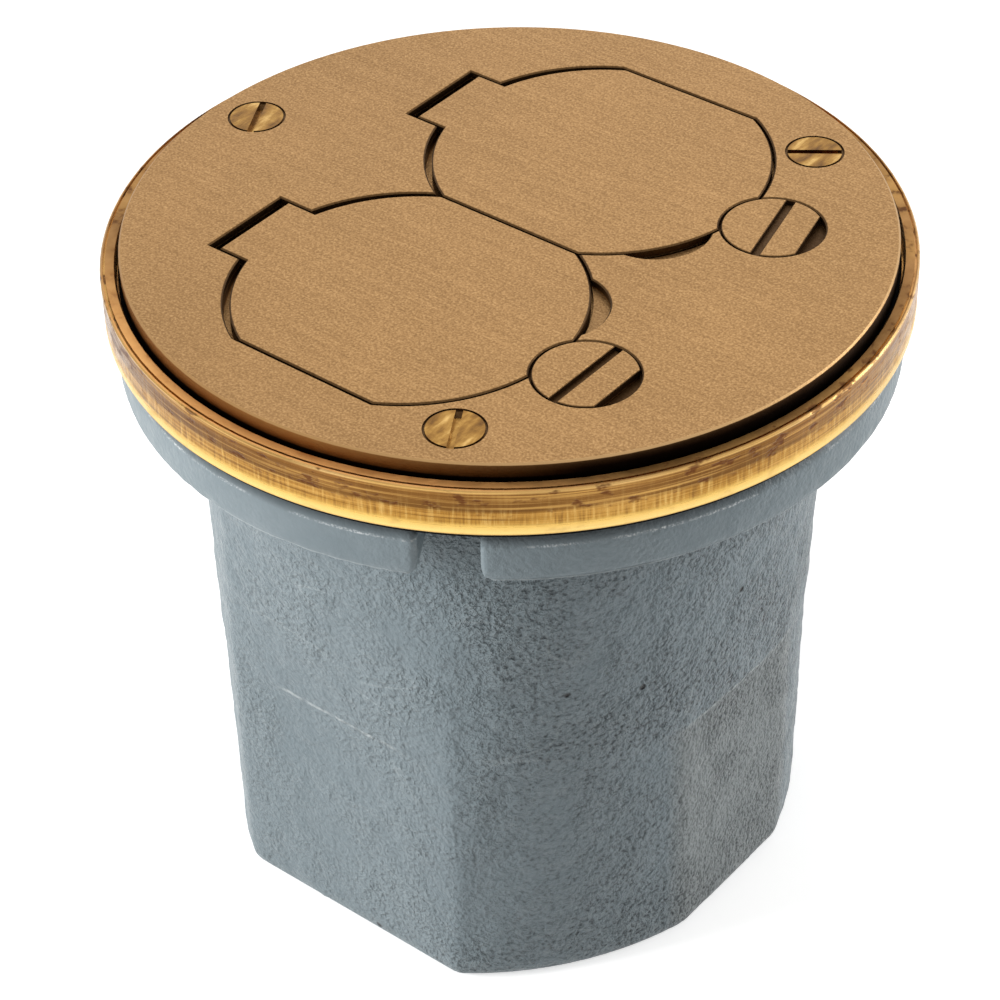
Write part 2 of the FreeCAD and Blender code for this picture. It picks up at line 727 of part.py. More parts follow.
def make_receptacle_face():
    faces = [outlet_window(sign, head_top - EPS, face_top, 0.0) for sign in (1, -1)]
    faces = [break_edges(face, face_top, face_edge_break) for face in faces]
    head = fused([device_block(strap_base, head_top)] + faces)
    groove_half = strap_w / 2 + strap_side_fit
    tools = [block(-groove_half, groove_half, -device_len, device_len, strap_base - EPS, strap_top)]
    for y in outlet_ys:
        tools += blade_slots(y, strap_base - EPS, face_top + EPS)
    return cut_all(head, tools)


def make_receptacle_strap():
    strap = block(-strap_w / 2, strap_w / 2, -strap_len / 2, strap_len / 2, strap_base, strap_top)
    strap = strap.makeFillet(device_round, upright_edges(strap, strap_t))
    z0, z1 = strap_base - EPS, strap_top + EPS
    hole_r = device_screw_r + screw_clear
    half = strap_slot_len / 2 - hole_r
    tools = []
    for y in (boss_y, -boss_y):
        tools.append(block(-half, half, y - hole_r, y + hole_r, z0, z1))
        tools.append(rod(hole_r, z0, z1, half, y))
        tools.append(rod(hole_r, z0, z1, -half, y))
    for y in outlet_ys:
        tools += blade_slots(y, z0, z1, strap_slot_edge)
    return cut_all(strap, tools)


def make_receptacle_base():
    base = device_block(device_base, strap_base)
    underside = [edge for edge in base.Edges if edge.BoundBox.ZMax < device_base + NEAR]
    base = base.makeFillet(base_edge_round, underside)
    half_len = contact_bay_len / 2
    bay_half = terminal_plate_w / 2 + contact_clear
    tools = []
    for sign in (1, -1):
        x = sign * blade_pitch / 2
        tools.append(block(x - contact_bay_w / 2, x + contact_bay_w / 2, -half_len, half_len,
                           contact_bay_low, strap_base + EPS))
        inner, outer = sorted((sign * terminal_bay_x, sign * device_w))
        for y in terminal_ys:
            tools.append(block(inner, outer, y - bay_half, y + bay_half,
                               device_base + terminal_bay_edge, strap_base - terminal_bay_edge))
        start, end = sorted((x, sign * (terminal_bay_x + contact_t + contact_clear)))
        tools.append(block(start, end, -terminal_tab_half - EPS, terminal_tab_half + EPS,
                           contact_bar_low - contact_clear, contact_bar_low + contact_t + contact_clear))
    for y in outlet_ys:
        tools.append(rod(ground_hole_r + earth_sleeve_t + 2 * contact_clear, sleeve_low - 2 * contact_clear,
                         strap_base + EPS, 0, y - ground_offset))
    return cut_all(base, tools)


def make_contact(sign, slot_len):
    """Side contact: a bus bar with a pair of spring fingers at each outlet, and two terminal plates."""
    x = sign * blade_pitch / 2
    low, high = contact_bar_low, contact_bar_low + contact_t
    half_w = contact_bay_w / 2 - contact_clear
    half_len = contact_bay_len / 2 - 1.0
    plate_in, plate_out = sign * terminal_bay_x, sign * (terminal_bay_x + contact_t)
    start, end = sorted((x, plate_out))
    pieces = [block(x - half_w, x + half_w, -half_len, half_len, low, high),
              block(start, end, -terminal_tab_half, terminal_tab_half, low, high)]
    for y in outlet_ys:
        for side in (1, -1):
            inner, outer = sorted((x + side * half_w, x + side * (half_w - contact_t)))
            pieces.append(block(inner, outer, y - slot_len / 2, y + slot_len / 2,
                                low, strap_base - finger_top_gap))
    for y in terminal_ys:
        inner, outer = sorted((plate_in, plate_out))
        pieces.append(block(inner, outer, y - terminal_plate_w / 2, y + terminal_plate_w / 2,
                            device_base + terminal_bay_edge + contact_clear,
                            strap_base - terminal_bay_edge - contact_clear))
    holes = [Part.makeCylinder(terminal_screw_r + thread_fit, 2 * contact_t,
                               V(plate_in - sign * contact_t / 2, y, terminal_z), V(sign, 0, 0))
             for y in terminal_ys]
    return cut_all(fused(pieces), holes)


def make_ground_contact():
    """A socket sleeve below each earth hole, hung from the strap."""
    return Part.makeCompound([
        tube(ground_hole_r + earth_sleeve_t, ground_hole_r, sleeve_low, strap_base, 0, y - ground_offset)
        for y in outlet_ys])


def make_terminal_screws(sign):
    screws = []
    for y in terminal_ys:
        screw = round_head(0, terminal_screw_head_r, terminal_screw_r, contact_t, terminal_head_h)
        screw.rotate(V(0, 0), V(0, 1, 0), sign * 90)
        screw.translate(V(sign * (terminal_bay_x + contact_t), y, terminal_z))
        screws.append(screw)
    return Part.makeCompound(screws)


def make_device_screws():
    screws = []
    for y in (boss_y, -boss_y):
        screw = round_head(strap_top, device_screw_head_r, device_screw_r, device_screw_len, device_head_h)
        screw.translate(V(0, y))
        screws.append(screw)
    return Part.makeCompound(screws)


# ---- inside the box -----------------------------------------------------------------------
def make_box_ground_screw():
    """Hexagon washer-head screw on the floor boss."""
    hex_base = ground_seat + ground_washer_t
    hex_top = hex_base + ground_hex_h
    washer = rod(ground_washer_r, ground_seat, hex_base)
    corners = [polar(ground_screw_head_r, 60 * corner, hex_base) for corner in range(7)]
    hexagon = Part.Face(Part.makePolygon(corners)).extrude(V(0, 0, ground_hex_h))
    shank = rod(ground_screw_r, box_floor_t + screw_nose + EPS, ground_seat)
    half = ground_screw_head_r + EPS
    slot = block(-half, half, -slot_w / 2, slot_w / 2, hex_top - slot_depth, hex_top + EPS)
    screw = fused([washer, hexagon, shank]).cut(slot)
    screw.translate(V(ground_screw_x, ground_screw_y))
    return screw


def make_conduit_plug():
    """Recessed pipe plug with a square socket, screwed flush into the +Y entry."""
    plug = Part.makeCylinder(entry_r - thread_fit, plug_len, V(0, flat_dist, entry_z), V(0, -1, 0))
    plug = plug.makeChamfer(plug_edge_break, [edge for edge in plug.Edges if edge.BoundBox.YLength < NEAR])
    half = plug_socket_w / 2
    floor = flat_dist - plug_socket_depth
    return plug.cut(block(-half, half, floor, flat_dist + EPS, entry_z - half, entry_z + half))


# ---- build --------------------------------------------------------------------------------
def main():
    os.makedirs("parts", exist_ok=True)
    save("box_body", make_box_body())
    save("flange_gasket", make_flange_gasket())
    save("floor_ring", make_floor_ring())
    save("ring_screws", make_ring_screws())
    save("cover_gasket", make_cover_gasket())
    save("cover_plate", make_cover_plate())
    save("cover_screws", make_cover_screws())
    for letter, sign, rest in (("a", 1, lock_rest_a), ("b", -1, 0.0)):
        save("lid_" + letter, make_lid(sign))
        save("lid_pad_" + letter, make_lid_pad(sign))
        save("hinge_pin_" + letter, make_hinge_pin(sign))
        save("lock_disc_" + letter, make_lock_disc(sign, rest))
        save("lock_spring_" + letter, make_spring_washer(sign))
        save("lock_stop_" + letter, make_stop_washer(sign, rest))
        save("lock_clip_" + letter, make_lock_clip(sign, rest))
    save("receptacle_face", make_receptacle_face())
    save("receptacle_strap", make_receptacle_strap())
    save("receptacle_base", make_receptacle_base())
    save("line_contact", make_contact(1, hot_slot_len))
    save("neutral_contact", make_contact(-1, neutral_slot_len))
    save("ground_contact", make_ground_contact())
    save("terminal_screws_brass", make_terminal_screws(1))
    save("terminal_screws_silver", make_terminal_screws(-1))
    save("device_screws", make_device_screws())
    save("box_ground_screw", make_box_ground_screw())
    save("conduit_plug", make_conduit_plug())


main()
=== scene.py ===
# %% [markdown]
# # A brass and cast-iron floor socket box
#
# The object is a round cast box that is set in a floor slab. A turned brass ring closes the gap to the
# flooring, a brass cover sits in the ring, and two hinged lids in the cover give access to a duplex outlet.
# Every solid piece comes from the construction model, in metres and already in its place. This script
# gives each piece its finish, models the fine things that a construction model leaves out, and sets up
# a small studio round it.

# %% Load the construction model
import json
import math

import bmesh
import bpy
from mathutils import Matrix, Vector


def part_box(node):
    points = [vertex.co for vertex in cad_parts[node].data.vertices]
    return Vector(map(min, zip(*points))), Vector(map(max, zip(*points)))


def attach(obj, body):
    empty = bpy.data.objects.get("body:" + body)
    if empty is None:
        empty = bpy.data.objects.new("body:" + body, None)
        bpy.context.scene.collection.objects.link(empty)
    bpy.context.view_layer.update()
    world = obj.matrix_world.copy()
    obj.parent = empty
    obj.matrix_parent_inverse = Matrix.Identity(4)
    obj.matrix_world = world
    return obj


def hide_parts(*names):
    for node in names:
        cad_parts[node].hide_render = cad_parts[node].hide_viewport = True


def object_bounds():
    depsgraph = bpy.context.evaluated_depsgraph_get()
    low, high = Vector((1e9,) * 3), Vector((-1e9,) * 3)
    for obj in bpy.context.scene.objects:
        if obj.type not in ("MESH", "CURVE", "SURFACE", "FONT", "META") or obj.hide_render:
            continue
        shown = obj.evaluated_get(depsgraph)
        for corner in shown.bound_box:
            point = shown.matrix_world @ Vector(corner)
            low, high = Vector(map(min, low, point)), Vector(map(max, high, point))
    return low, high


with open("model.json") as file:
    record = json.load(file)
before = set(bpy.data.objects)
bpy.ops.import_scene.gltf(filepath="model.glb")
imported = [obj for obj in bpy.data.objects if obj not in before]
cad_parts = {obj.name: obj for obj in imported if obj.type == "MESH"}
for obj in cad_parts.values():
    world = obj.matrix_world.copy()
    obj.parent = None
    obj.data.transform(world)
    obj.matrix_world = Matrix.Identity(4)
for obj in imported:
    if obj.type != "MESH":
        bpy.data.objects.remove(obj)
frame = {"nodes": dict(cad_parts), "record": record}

MM = 0.001
cad_low, cad_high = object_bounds()
nodes = frame["nodes"]
print("pieces:", len(nodes), "box:", [round(v / MM, 2) for v in (*cad_low, *cad_high)])

# %% [markdown]
# ## Camera
#
# A product picture of a small thing is taken from a step back with a long lens, so that circles stay
# calm ellipses. The camera here stands half a metre from the cover and looks down on it at about 39
# degrees, from the side where the outlet's length and the locks meet. It is turned a touch about its own
# axis, as a hand-held camera would be. Its frame is built from the looking direction, which is easier to
# reason about than three Euler angles.

# %% Camera
look_azimuth = math.radians(39.42)
look_elevation = math.radians(38.71)
roll = math.radians(-1.46)
camera_place = Vector((280.75 * MM, -345.82 * MM, cad_high[2] + 296.51 * MM))
lens_mm = 112.15
sensor_mm = 36.0


def camera_frame(azimuth, elevation, turn):
    """Right, up and backward directions of a camera that looks down at the object."""
    forward = Vector((-math.sin(azimuth) * math.cos(elevation), math.cos(azimuth) * math.cos(elevation),
                      -math.sin(elevation)))
    right = Vector((math.cos(azimuth), math.sin(azimuth), 0.0))
    up = right.cross(forward)
    turned_right = right * math.cos(turn) + up * math.sin(turn)
    turned_up = up * math.cos(turn) - right * math.sin(turn)
    return turned_right, turned_up, -forward


camera = bpy.data.objects.new("camera", bpy.data.cameras.new("camera"))
bpy.context.scene.collection.objects.link(camera)
axes = Matrix(camera_frame(look_azimuth, look_elevation, roll)).transposed()
camera.matrix_world = Matrix.Translation(camera_place) @ axes.to_4x4()
camera.data.lens = lens_mm
camera.data.sensor_width = sensor_mm
camera.data.clip_start = 10.0 * MM
bpy.context.scene.camera = camera
print("camera at", [round(v / MM, 1) for v in camera.location])

# %% [markdown]
# ## Building materials in code
#
# A material is a small network of nodes. Written one node at a time the network soon takes a page, so
# two helpers keep it short: one adds a node with its settings and inputs, the other starts a material
# and hands back its main shader. Patterns read Object coordinates, which are the piece's own metres, so
# a grain keeps its real size on every piece.

# %% Nodes and materials
def add(tree, kind, inputs=None, **settings):
    """A new node; an input may be a plain value or another node's output."""
    node = tree.nodes.new(kind)
    for key, value in settings.items():
        setattr(node, key, value)
    for key, value in (inputs or {}).items():
        if isinstance(value, bpy.types.NodeSocket):
            tree.links.new(value, node.inputs[key])
        else:
            node.inputs[key].default_value = value
    return node


def new_material(name, metallic, roughness, **sockets):
    material = bpy.data.materials.new(name)
    material.use_nodes = True
    tree = material.node_tree
    shader = tree.nodes["Principled BSDF"]
    shader.inputs["Metallic"].default_value = metallic
    shader.inputs["Roughness"].default_value = roughness
    for key, value in sockets.items():
        shader.inputs[key.replace("_", " ")].default_value = value
    place = add(tree, "ShaderNodeTexCoord").outputs["Object"]
    return material, tree, shader, place


def stretched(tree, place, scale, turn=0.0):
    """The piece's own coordinates, scaled per axis and turned about Z."""
    mapping = add(tree, "ShaderNodeMapping", {"Vector": place, "Scale": scale,
                                              "Rotation": (0.0, 0.0, turn)})
    return mapping.outputs["Vector"]


print("helpers:", add.__name__, new_material.__name__, stretched.__name__)

# %% [markdown]
# ## Patterns and masks
#
# Every finish below is built from the same few steps. A noise gives a pattern. Its scale counts the grains
# in a metre, so that 2400 gives grains of under half a millimetre. A ramp turns a value into colours, and
# a fit stretches a narrow range of a value into a mask from 0 to 1. A mask then mixes one colour over
# another, or a pattern raises the surface a little as a bump. A range is kept as a pair of values: where
# the mask begins and where it is full.

# %% Patterns and masks
def noise(tree, vector, scale, detail=2.0, roughness=0.5):
    return add(tree, "ShaderNodeTexNoise", {"Vector": vector, "Scale": scale, "Detail": detail,
                                            "Roughness": roughness}).outputs["Fac"]


def ramp(tree, factor, stops):
    """Colours along a value from 0 to 1."""
    node = add(tree, "ShaderNodeValToRGB", {"Fac": factor})
    elements = node.color_ramp.elements
    while len(elements) < len(stops):
        elements.new(0.5)
    for element, (position, color) in zip(elements, stops):
        element.position = position
        element.color = (*color, 1.0)
    return node.outputs["Color"]


def fit(tree, value, low, high, to_low=0.0, to_high=1.0):
    return add(tree, "ShaderNodeMapRange", {"Value": value, "From Min": low, "From Max": high,
                                            "To Min": to_low, "To Max": to_high}).outputs["Result"]


def math_node(tree, operation, a, b=0.0):
    return add(tree, "ShaderNodeMath", {0: a, 1: b}, operation=operation).outputs[0]


def times(tree, a, b):
    return math_node(tree, "MULTIPLY", a, b)


def band(tree, value, middle, inner, outer, strength=1.0):
    """A mask that is full within inner of the middle value and gone beyond outer."""
    away = math_node(tree, "ABSOLUTE", math_node(tree, "SUBTRACT", value, middle))
    return fit(tree, away, inner, outer, strength, 0.0)


def mixed(tree, factor, a, b):
    """Colour a where the factor is 0, colour b where it is 1."""
    node = add(tree, "ShaderNodeMix", data_type="RGBA")
    for index, value in ((0, factor), (6, a), (7, b)):
        if isinstance(value, bpy.types.NodeSocket):
            tree.links.new(value, node.inputs[index])
        elif index:
            node.inputs[index].default_value = (*value, 1.0)
        else:
            node.inputs[index].default_value = value
    return node.outputs[2]


def bump(tree, shader, height, depth, normal=None):
    """Raises the surface by height times depth, in metres; returns the normal for a second layer."""
    inputs = {"Height": height, "Distance": depth, "Strength": 1.0}
    if normal:
        inputs["Normal"] = normal
    result = add(tree, "ShaderNodeBump", inputs).outputs["Normal"]
    tree.links.new(result, shader.inputs["Normal"])
    return result


def along(tree, place, axis):
    """One coordinate of a place."""
    return add(tree, "ShaderNodeSeparateXYZ", {"Vector": place}).outputs[axis]


def from_the_axis(tree, place):
    """Distance of a point from the box's upright axis, in metres, and its height."""
    split = add(tree, "ShaderNodeSeparateXYZ", {"Vector": place})
    flat = add(tree, "ShaderNodeCombineXYZ", {"X": split.outputs["X"], "Y": split.outputs["Y"]})
    reach = add(tree, "ShaderNodeVectorMath", {0: flat.outputs[0]}, operation="LENGTH").outputs["Value"]
    return reach, split.outputs["Z"]


print("masks:", fit.__name__, band.__name__, from_the_axis.__name__)

# %% [markdown]
# ## Brass of the cover and the lids
#
# The cover and its lids are one sheet finish: the plate is drawn past an abrasive belt, which leaves very
# fine parallel scratches along X, and then blasted lightly, which dulls them to a satin grain. Two noises
# do this. One is stretched a lot along X for the scratches, the other is fine and even for the blasting.
# Both feed the bump; a faint copy goes into the colour and the roughness, because a scratch also catches
# a little dirt.

# %% Belt and blasting grain
def satin_grain(tree, place):
    """The colour of the satin face, and the two patterns it is made of."""
    scratches = noise(tree, stretched(tree, place, (60.0, 2400.0, 900.0)), 1.0, 3.0, 0.6)
    blasting = noise(tree, place, 2400.0, 2.0, 0.6)
    clouds = noise(tree, place, 28.0, 3.0, 0.55)
    color = ramp(tree, clouds, [(0.3, (0.375, 0.212, 0.084)), (0.7, (0.435, 0.247, 0.099))])
    color = mixed(tree, fit(tree, scratches, 0.35, 0.65, 0.0, 0.35), color, (0.315, 0.176, 0.070))
    color = mixed(tree, fit(tree, blasting, 0.5, 0.72, 0.0, 0.7), color, (0.60, 0.37, 0.165))
    color = mixed(tree, fit(tree, blasting, 0.5, 0.28, 0.0, 0.7), color, (0.23, 0.125, 0.045))
    return color, scratches, blasting


print("satin grain ready")

# %% [markdown]
# ## Painted shade in the cover's hollows, and its rim
#
# Painted shade darkens the finger notches, the slots, the edge breaks and the other shallow hollows. They
# are
# found by their depth under the top face: the brass darkens just below it, is a little lighter on the
# notches' own floor, and dark again underneath. The rim never meets the belt and keeps its tone from the
# saw. It is found by its distance from the axis. A painted highlight lightens its top edge and painted
# shade blackens its foot. Towards the locks, on the side away from the key lamp, painted shade makes the
# rim darkest, and it stays a warm brown on the other sides.

# %% Painted shade and rim
cover_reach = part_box("cover_plate")[1][0]
rim_reach = (cover_reach - 0.42 * MM, cover_reach - 0.34 * MM)
rim_shaded_x = (12.0 * MM, 50.0 * MM)
shade_depth = 4.0 * MM
grey = [(value, value, value) for value in (0.0, 0.25, 0.80, 0.85, 0.88, 0.9)]
# Painted shade below the top face: edge breaks and walls darken, the notches' floor a little less, and the
# shade fades out below about 3 mm.
hollow_shade_stops = [(0.004, grey[0]), (0.025, grey[2]), (0.33, grey[4]), (0.38, grey[1]), (0.405, grey[1]),
              (0.425, grey[5]), (0.65, grey[3]), (0.78, grey[0])]
# The rim over the depth: a painted highlight on its top edge break, then the sawn brown, then painted shade
# near black at its foot. The dark version is painted shade on the side towards the locks, away from the key
# lamp.
warm_rim = [(0.06, (0.45, 0.26, 0.105)), (0.09, (0.27, 0.130, 0.040)), (0.60, (0.24, 0.105, 0.030)),
            (0.67, (0.014, 0.007, 0.003))]
dark_rim = [(0.06, (0.50, 0.31, 0.14)), (0.09, (0.060, 0.030, 0.012)), (0.20, (0.030, 0.015, 0.007)),
            (0.44, (0.008, 0.004, 0.002))]


def with_shade_and_rim(tree, place, color):
    reach, height = from_the_axis(tree, place)
    depth = fit(tree, height, cad_high[2], cad_high[2] - shade_depth)
    # Painted shade in the hollows, by depth.
    color = mixed(tree, ramp(tree, depth, hollow_shade_stops), color, (0.036, 0.016, 0.006))
    # Painted shade on the rim towards the locks.
    toward_locks = fit(tree, along(tree, place, "X"), *rim_shaded_x)
    sawn_and_shaded = mixed(tree, toward_locks, ramp(tree, depth, warm_rim), ramp(tree, depth, dark_rim))
    return mixed(tree, fit(tree, reach, *rim_reach), color, sawn_and_shaded)


print("rim at", round(cover_reach / MM, 2), "mm from the axis")

# %% [markdown]
# ## The finished cover brass
#
# Grain, painted shade and rim come together in one material. The scratches also vary its roughness, which
# breaks up the reflections as a belt does, and both patterns raise the surface a few hundredths of a
# millimetre.

# %% Cover brass
def make_cover_brass():
    material, tree, shader, place = new_material("satin_brass", 1.0, 0.42)
    color, scratches, blasting = satin_grain(tree, place)
    tree.links.new(with_shade_and_rim(tree, place, color), shader.inputs["Base Color"])
    tree.links.new(fit(tree, scratches, 0.3, 0.7, 0.40, 0.52), shader.inputs["Roughness"])
    first = bump(tree, shader, scratches, 0.02 * MM)
    bump(tree, shader, blasting, 0.04 * MM, normal=first)
    return material


cover_brass = make_cover_brass()
print("made", cover_brass.name)

# %% [markdown]
# ## Brass of the floor ring
#
# The ring is turned on a lathe and left bright, so it is glossier and more golden than the cover. Its
# colour over the height holds painted reflections: the foot chamfer and the bottom of the rim are a bright
# yellow painted reflection of the floor, a pale band just under the top edge is a painted highlight, and in
# the brown version the rim's upper half is darkened as a painted reflection of a dark surround. Two ramps
# over the height give a golden and a brown version, and a broad noise chooses between them, so the ring
# looks tarnished more in some places than in others.

# %% Painted reflections on the ring
ring_foot_drop = 0.7 * MM
ring_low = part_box("floor_ring")[0][2] - ring_foot_drop
ring_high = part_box("floor_ring")[1][2]
# Painted reflections over the height: a bright foot, a pale band under the top edge and, in the brown ramp,
# a dark upper half.
golden_rim = [(0.0, (0.66, 0.38, 0.10)), (0.06, (0.86, 0.60, 0.22)), (0.20, (0.78, 0.50, 0.14)),
              (0.28, (0.49, 0.265, 0.060)), (0.52, (0.45, 0.235, 0.054)), (0.62, (0.44, 0.225, 0.062)),
              (0.93, (0.42, 0.20, 0.060)), (0.955, (0.85, 0.60, 0.30)), (0.985, (0.80, 0.52, 0.24)),
              (1.0, (0.37, 0.190, 0.064))]
brown_rim = [(0.0, (0.62, 0.36, 0.09)), (0.06, (0.88, 0.62, 0.22)), (0.20, (0.76, 0.49, 0.13)),
             (0.28, (0.44, 0.23, 0.045)), (0.48, (0.38, 0.185, 0.036)), (0.56, (0.175, 0.080, 0.020)),
             (0.92, (0.22, 0.098, 0.024)), (0.955, (0.60, 0.36, 0.12)), (0.985, (0.55, 0.33, 0.11)),
             (1.0, (0.24, 0.125, 0.040))]


def tarnish_and_reflections(tree, place, level):
    patches = noise(tree, place, 17.0, 2.0, 0.5)
    return mixed(tree, fit(tree, patches, 0.42, 0.56), ramp(tree, level, golden_rim),
                 ramp(tree, level, brown_rim))


print("ring rim from", round(ring_low / MM, 2), "to", round(ring_high / MM, 2), "mm")

# %% [markdown]
# ## Wear on the ring's rim
#
# The lower half carries fine upright marks from handling, the whole rim the fine rings of the lathe, and
# the upper half flakes of dark oxide. A noise that is squeezed in height gives the lathe's rings, and one
# that is stretched in height gives the upright marks: both read the plain Object coordinates, so there is
# no seam anywhere. Each lightens the brass on its high side and darkens it on its low side.

# %% Ring wear
def light_and_dark(tree, color, pattern, middle, spread, strengths, where, light, dark):
    """Lightens a colour where a pattern is high and darkens it where it is low."""
    lit = times(tree, fit(tree, pattern, middle[0], middle[0] + spread, 0.0, strengths[0]), where)
    shaded = times(tree, fit(tree, pattern, middle[1], middle[1] - spread, 0.0, strengths[1]), where)
    return mixed(tree, shaded, mixed(tree, lit, color, light), dark)


def rim_wear(tree, place, level, color):
    """The worn colour, with the upright marks and the oxide flakes that the bump also needs."""
    streaks = noise(tree, stretched(tree, place, (30.0, 30.0, 2100.0)), 1.0, 3.0, 0.6)
    marks = noise(tree, stretched(tree, place, (1500.0, 1500.0, 140.0)), 1.0, 2.0, 0.6)
    flakes = noise(tree, stretched(tree, place, (260.0, 260.0, 620.0)), 1.0, 3.0, 0.6)
    lower = times(tree, fit(tree, level, 0.62, 0.48, 0.12, 1.0), fit(tree, level, 0.20, 0.28, 0.05, 1.0))
    color = light_and_dark(tree, color, marks, (0.52, 0.48), 0.20, (0.55, 0.65), lower,
                           (0.80, 0.54, 0.18), (0.16, 0.072, 0.018))
    worked = fit(tree, level, 0.18, 0.30, 0.15, 1.0)
    color = light_and_dark(tree, color, streaks, (0.50, 0.50), 0.20, (0.65, 0.65), worked,
                           (0.66, 0.38, 0.11), (0.12, 0.050, 0.013))
    upper = fit(tree, level, 0.40, 0.55, 0.15, 1.0)
    flaked = times(tree, fit(tree, flakes, 0.57, 0.66, 0.0, 0.75), upper)
    return mixed(tree, flaked, color, (0.10, 0.028, 0.010)), marks, flakes, flaked


print("ring wear ready")

# %% [markdown]
# ## The ring's land, and the finished material
#
# The land on top, which feet scuff, is duller than the rim, and lighter and more coppery towards -Y. The
# lathe's rings and the upright marks also go into the bump, but not into the rounded top edge, which is
# worn smooth and would only glitter.

# %% Ring brass
land_level = (0.985, 0.995)
below_edge_level = (0.90, 0.84)
land_lighter_y = (-38.0 * MM, -62.0 * MM)


def make_ring_brass():
    material, tree, shader, place = new_material("turned_brass", 1.0, 0.24)
    reach, height = from_the_axis(tree, place)
    level = fit(tree, height, ring_low, ring_high)
    color, marks, flakes, flaked = rim_wear(tree, place, level, tarnish_and_reflections(tree, place, level))
    on_land = fit(tree, level, *land_level)
    # The land is lighter and more coppery towards -Y.
    lighter_land = times(tree, fit(tree, along(tree, place, "Y"), *land_lighter_y, 0.0, 0.8), on_land)
    color = mixed(tree, lighter_land, color, (0.90, 0.48, 0.17))
    tree.links.new(color, shader.inputs["Base Color"])
    polish = math_node(tree, "ADD", fit(tree, flakes, 0.3, 0.75, 0.16, 0.45), times(tree, on_land, 0.25))
    tree.links.new(polish, shader.inputs["Roughness"])
    turning_at = add(tree, "ShaderNodeCombineXYZ", {"X": reach, "Y": height}).outputs[0]
    turning = noise(tree, turning_at, 2600.0, 2.0, 0.6)
    below_edge = fit(tree, level, *below_edge_level, 0.15, 1.0)
    first = bump(tree, shader, times(tree, turning, below_edge), 0.04 * MM)
    second = bump(tree, shader, times(tree, marks, below_edge), 0.05 * MM, normal=first)
    bump(tree, shader, times(tree, flaked, -1.0), 0.08 * MM, normal=second)
    return material


ring_brass = make_ring_brass()
print("made", ring_brass.name)

# %% [markdown]
# ## Brass of the screws
#
# The cover screws are turned from bar and tumbled, so their faces are polished. Use has left a few
# scratches and brown stains, which are two noises that are stretched in different directions. The lock
# discs are cut from the same satin plate as the cover, so they take its finish further down.

# %% Screw brass
def make_screw_brass():
    material, tree, shader, place = new_material("polished_brass", 1.0, 0.2)
    scratches = noise(tree, stretched(tree, place, (300.0, 2500.0, 1200.0), 0.6), 1.0, 2.0, 0.6)
    stains = noise(tree, stretched(tree, place, (420.0, 160.0, 300.0), 0.9), 1.0, 3.0, 0.6)
    color = ramp(tree, stains, [(0.30, (0.58, 0.36, 0.12)), (0.42, (0.36, 0.195, 0.048)),
                                (0.52, (0.26, 0.130, 0.030)), (0.70, (0.11, 0.050, 0.015))])
    tree.links.new(color, shader.inputs["Base Color"])
    tree.links.new(fit(tree, scratches, 0.3, 0.7, 0.16, 0.34), shader.inputs["Roughness"])
    bump(tree, shader, scratches, 0.02 * MM)
    return material


screw_brass = make_screw_brass()
print("made", screw_brass.name)

# %% [markdown]
# ## Painted cast iron
#
# The box is sand-cast and dipped in blue-grey paint. The sand leaves a skin of small dimples, which the
# paint rounds off, so the surface looks like orange peel with a soft gloss. Fine grains and broader lumps
# are two noises, and a third, wider still, says where the skin is rougher. The machined-looking flange is
# smoother, and the side under the locks, which lay lowest in the mould, is the roughest.

# %% Sand skin
flange_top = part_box("flange_gasket")[0][2]
flange_foot = flange_top - 10.4 * MM
flange_bevel = flange_top - 3.0 * MM
flat_step = 52.0 * MM
sand_coarsens_x = (12.0 * MM, 48.0 * MM)


def sand_skin(tree, place, height):
    """The skin's noises, where it is rough at all, and how rough it is without and with the lock side."""
    skin = {"grains": noise(tree, place, 1150.0, 2.0, 0.55), "lumps": noise(tree, place, 330.0, 2.0, 0.5),
            "broad": noise(tree, place, 55.0, 2.0, 0.5)}
    skin["rough"] = fit(tree, height, flange_foot - 1.0 * MM, flange_foot + 1.0 * MM, 1.0, 0.16)
    skin["gritty"] = times(tree, fit(tree, skin["broad"], 0.38, 0.62, 0.45, 1.15), skin["rough"])
    lock_side = fit(tree, along(tree, place, "X"), *sand_coarsens_x, 1.0, 2.8)
    skin["coarse"] = times(tree, skin["gritty"], lock_side)
    return skin


print("flange from", round(flange_foot / MM, 2), "to", round(flange_top / MM, 2), "mm")

# %% [markdown]
# ## The paint's tone, with painted shade and highlight
#
# The grains also shade the colour: painted shade darkens their hollows, most on the lock side, and a
# painted highlight lightens their crests. The lower flat of the lock side is a warmer grey.

# %% Paint tone
# Colours of the painted shade in the grains' hollows and of the painted highlight on their crests, which
# the scuffs also take.
hollow_shade_tone = (0.050, 0.066, 0.074)
crest_highlight_and_scuff_tone = (0.36, 0.41, 0.43)
warm_flat_x = (49.0 * MM, 50.2 * MM)


def paint_tone(tree, place, height, skin):
    color = ramp(tree, skin["broad"], [(0.3, (0.183, 0.228, 0.250)), (0.7, (0.232, 0.281, 0.304))])
    below_step = fit(tree, height, flat_step + 0.5 * MM, flat_step - 0.5 * MM)
    # A warmer grey on the lower flat of the lock side.
    lower_flat = times(tree, fit(tree, along(tree, place, "X"), *warm_flat_x), below_step)
    color = mixed(tree, times(tree, lower_flat, 0.50), color, (0.252, 0.260, 0.246))
    # Painted shade in the hollows and painted highlight on the crests.
    hollow = times(tree, fit(tree, skin["grains"], 0.48, 0.28, 0.0, 0.40), skin["coarse"])
    crest = times(tree, fit(tree, skin["grains"], 0.54, 0.75, 0.0, 0.30), skin["gritty"])
    return mixed(tree, crest, mixed(tree, hollow, color, hollow_shade_tone), crest_highlight_and_scuff_tone)


print("paint tones:", hollow_shade_tone, "to", crest_highlight_and_scuff_tone)

